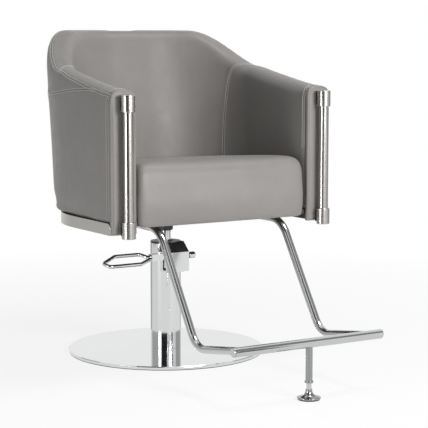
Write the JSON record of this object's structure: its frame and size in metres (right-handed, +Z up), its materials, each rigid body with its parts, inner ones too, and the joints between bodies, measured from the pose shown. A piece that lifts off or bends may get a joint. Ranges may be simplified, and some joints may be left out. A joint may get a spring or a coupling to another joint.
{
  "type": "hairdressing chair",
  "caption": "Padded tub-backed salon chair with steel arm posts and a footrest, on a swivelling hydraulic pump with a foot pedal and a round base.",
  "frame": {"origin": "on the floor under the axis of the pump's column, at the underside of the rubber sheet under the base disc", "axes": "+Z up along the column, -Y the way the sitter faces, +X to the sitter's left; the footrest reaches along -Y"},
  "size_m": [0.652, 0.9635, 0.8629],
  "materials": {
    "rubber": "matte",
    "polished_chrome": "polished",
    "brushed_steel": "satin",
    "black_plastic": "gloss",
    "black_metal": "satin",
    "zinc_steel": "satin",
    "dark_steel": "satin",
    "bronze": "satin",
    "plywood": "matte",
    "upholstery": "satin"
  },
  "bodies": {
    "base": {"floor_pad": "rubber", "base_disc": "polished_chrome", "base_bolts": "zinc_steel", "pump_foot": "zinc_steel", "pump_column": "polished_chrome", "column_cap": "black_plastic", "pump_cylinder": "zinc_steel", "oil_reservoir": "zinc_steel", "valve_block": "bronze", "pump_head": "zinc_steel", "guide_bush": "bronze", "wiper_seal": "rubber", "pump_hood": "polished_chrome", "hood_cap": "black_plastic", "hood_screws": "zinc_steel", "lever_bracket": "zinc_steel", "lever_pin": "zinc_steel", "plunger_barrel": "zinc_steel", "plunger_spring": "zinc_steel"},
    "piston": {"piston_head": "zinc_steel", "piston_seal": "rubber"},
    "pedal": {"pedal_lever": "dark_steel", "pedal_loop": "polished_chrome", "lever_nut": "polished_chrome"},
    "plunger": {"plunger": "zinc_steel"},
    "foot": {"foot_stem": "zinc_steel", "bell_foot": "polished_chrome", "foot_pad": "rubber"},
    "seat": {"ram": "polished_chrome", "ram_collar": "black_metal", "seat_plate": "black_metal", "plate_bolts": "zinc_steel", "seat_board": "plywood", "seat_cushion": "upholstery", "plinth_frame": "plywood", "kick_band": "brushed_steel", "arm_left": "upholstery", "arm_right": "upholstery", "backrest": "upholstery", "arm_frame_left": "plywood", "arm_frame_right": "plywood", "back_frame": "plywood", "arm_facing_left": "upholstery", "arm_facing_right": "upholstery", "post_tube_left": "brushed_steel", "post_tube_right": "brushed_steel", "post_collars": "brushed_steel", "post_brackets": "black_metal", "post_bolts": "zinc_steel", "footrest_bar_left": "polished_chrome", "footrest_bar_right": "polished_chrome", "footrest_crossbar": "polished_chrome", "crossbar_caps": "polished_chrome", "footrest_clamps": "black_metal", "clamp_bolts": "zinc_steel", "support_leg": "polished_chrome", "leg_lock_ring": "polished_chrome"}
  },
  "joints": [
    {"name": "lift", "type": "slide", "parent": "base", "child": "piston", "axis": [0, 0, 1], "range_m": [0, 0.17]},
    {"name": "swivel", "type": "hinge", "parent": "piston", "child": "seat", "pos_m": [0, 0, 0.052], "axis": [0, 0, 1], "continuous": true},
    {"name": "pedal_press", "type": "hinge", "parent": "base", "child": "pedal", "pos_m": [0.015, -0.052, 0.262], "axis": [0, -1, 0], "range_deg": [0, 15], "stiffness_Nm_per_rad": 8, "springref_deg": -8.59},
    {"name": "plunger_stroke", "type": "slide", "parent": "base", "child": "plunger", "axis": [0, 0, -1], "range_m": [0, 0.0066], "deforming": ["plunger_spring"]},
    {"name": "foot_height", "type": "slide", "parent": "seat", "child": "foot", "axis": [0, 0, 1], "range_m": [-0.02, 0.012]}
  ],
  "couplings": [
    {"joint": "plunger_stroke", "follows": "pedal_press", "m_per_rad": 0.025}
  ]
}
